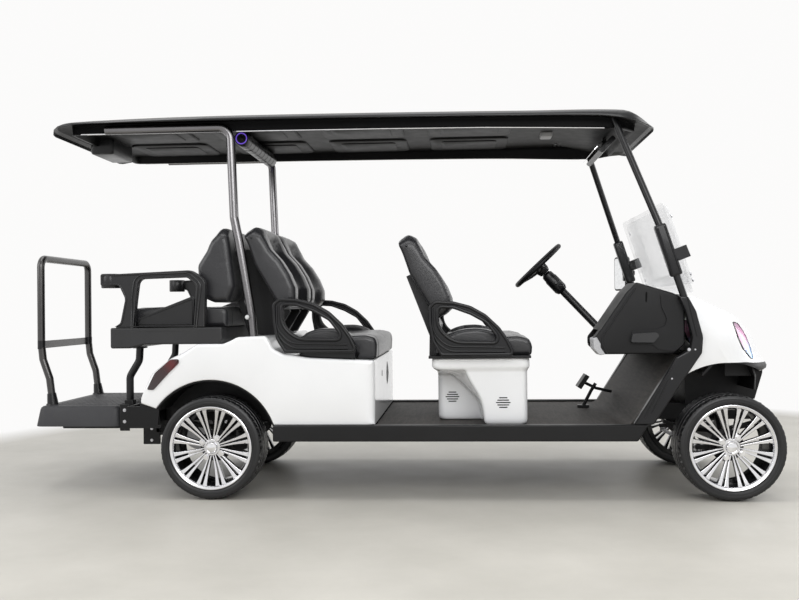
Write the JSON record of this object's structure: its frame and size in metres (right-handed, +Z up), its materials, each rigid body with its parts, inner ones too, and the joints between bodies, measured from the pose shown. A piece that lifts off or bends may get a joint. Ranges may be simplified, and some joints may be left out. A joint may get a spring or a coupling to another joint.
{
  "type": "six-seat golf cart",
  "caption": "Electric golf cart with two forward benches, a rear-facing bench with step, a full-length canopy, alloy wheels that roll and steered front wheels.",
  "frame": {"origin": "on the ground under the centre of the whole cart's box; the left side mirror reaches past the rockers, so the centre plane is 65 mm to the right of the origin, at y = -0.065", "axes": "+X forward, +Y to the left, +Z up"},
  "size_m": [3.653, 1.33, 1.825],
  "materials": {
    "body_white": "gloss white moulded body",
    "black_gloss": "satin black moulding",
    "black_plastic": "fine grained black moulding",
    "roof_plastic": "black canopy with a soft sheen",
    "frame_paint": "satin black chassis paint",
    "tube_paint": "satin black powder coat",
    "bare_steel": "plated steel",
    "cast_housing": "dark cast axle housing",
    "motor_alloy": "cast alloy",
    "tyre_rubber": "black rubber",
    "rim_alloy": "machined face with black pockets",
    "seat_vinyl": "soft black vinyl",
    "floor_mat": "charcoal textured mat",
    "screen_clear": "clear acrylic",
    "mirror_face": "black mirror housing",
    "lamp_red": "smoked red lens",
    "lamp_clear": "clear lens over a bright reflector",
    "battery_case": "black battery case"
  },
  "bodies": {
    "cart": {"chassis_rails": "frame_paint", "cross_members": "frame_paint", "rockers": "frame_paint", "floor_deck": "floor_mat", "side_channels": "black_plastic", "rear_body": "body_white", "rear_arch_liners": "black_plastic", "battery_pack": "battery_case", "tail_lamps": "lamp_red", "rear_axle": "cast_housing", "drive_motor": "motor_alloy", "front_axle": "frame_paint", "leaf_springs": "frame_paint", "front_cowl": "body_white", "front_underbody": "black_plastic", "head_lamps": "lamp_clear", "dash": "black_plastic", "steering_column": "black_gloss", "pedals": "frame_paint", "front_seat_base": "body_white", "front_seat_frame": "black_plastic", "front_seat_cushion": "seat_vinyl", "front_seat_back": "seat_vinyl", "front_armrests": "black_gloss", "middle_seat_frame": "black_plastic", "middle_seat_cushion": "seat_vinyl", "middle_seat_back": "seat_vinyl", "middle_armrests": "black_gloss", "seat_back_frame": "frame_paint", "rear_seat_tray": "black_plastic", "rear_seat_cushion": "seat_vinyl", "rear_seat_back": "seat_vinyl", "rear_armrests": "black_gloss", "rear_seat_legs": "tube_paint", "step_platform": "floor_mat", "step_frame": "frame_paint", "grab_handle": "tube_paint", "roof": "roof_plastic", "rear_struts": "tube_paint", "front_struts": "tube_paint", "windscreen": "screen_clear", "screen_holders": "black_plastic", "side_mirror": "mirror_face", "cabin_mirror": "mirror_face", "speakers": "black_gloss", "rear_bumper": "black_plastic"},
    "wheel_rear_left": {"tyre_rear_left": "tyre_rubber", "rim_rear_left": "rim_alloy"},
    "wheel_rear_right": {"tyre_rear_right": "tyre_rubber", "rim_rear_right": "rim_alloy"},
    "wheel_front_left": {"tyre_front_left": "tyre_rubber", "rim_front_left": "rim_alloy"},
    "wheel_front_right": {"tyre_front_right": "tyre_rubber", "rim_front_right": "rim_alloy"},
    "knuckle_left": {"knuckle_left": "frame_paint"},
    "knuckle_right": {"knuckle_right": "frame_paint"},
    "steering_wheel": {"steering_wheel": "black_plastic"},
    "tie_rod": {"tie_rod": "bare_steel"}
  },
  "joints": [
    {"name": "wheel_rear_left_roll", "type": "hinge", "parent": "cart", "child": "wheel_rear_left", "pos_m": [-0.8635, 0.42, 0.242], "axis": [0, 1, 0], "continuous": true},
    {"name": "wheel_rear_right_roll", "type": "hinge", "parent": "cart", "child": "wheel_rear_right", "pos_m": [-0.8635, -0.55, 0.242], "axis": [0, 1, 0], "continuous": true},
    {"name": "knuckle_left_steer", "type": "hinge", "parent": "cart", "child": "knuckle_left", "pos_m": [1.5365, 0.335, 0.242], "axis": [0, 0, 1], "range_deg": [-28, 28]},
    {"name": "knuckle_right_steer", "type": "hinge", "parent": "cart", "child": "knuckle_right", "pos_m": [1.5365, -0.465, 0.242], "axis": [0, 0, 1], "range_deg": [-28, 28]},
    {"name": "wheel_front_left_roll", "type": "hinge", "parent": "knuckle_left", "child": "wheel_front_left", "pos_m": [1.5365, 0.42, 0.242], "axis": [0, 1, 0], "continuous": true},
    {"name": "wheel_front_right_roll", "type": "hinge", "parent": "knuckle_right", "child": "wheel_front_right", "pos_m": [1.5365, -0.55, 0.242], "axis": [0, 1, 0], "continuous": true},
    {"name": "steering_wheel_turn", "type": "hinge", "parent": "cart", "child": "steering_wheel", "pos_m": [0.7395, 0.205, 1.115], "axis": [0.6844, 0, -0.7291], "range_deg": [-396, 396]},
    {"name": "tie_rod_slide", "type": "slide", "parent": "cart", "child": "tie_rod", "axis": [0, 1, 0], "range_m": [-0.056, 0.056]}
  ],
  "couplings": [
    {"joint": "knuckle_right_steer", "follows": "knuckle_left_steer", "ratio": 1},
    {"joint": "steering_wheel_turn", "follows": "knuckle_left_steer", "ratio": -14},
    {"joint": "tie_rod_slide", "follows": "knuckle_left_steer", "m_per_rad": -0.11}
  ]
}
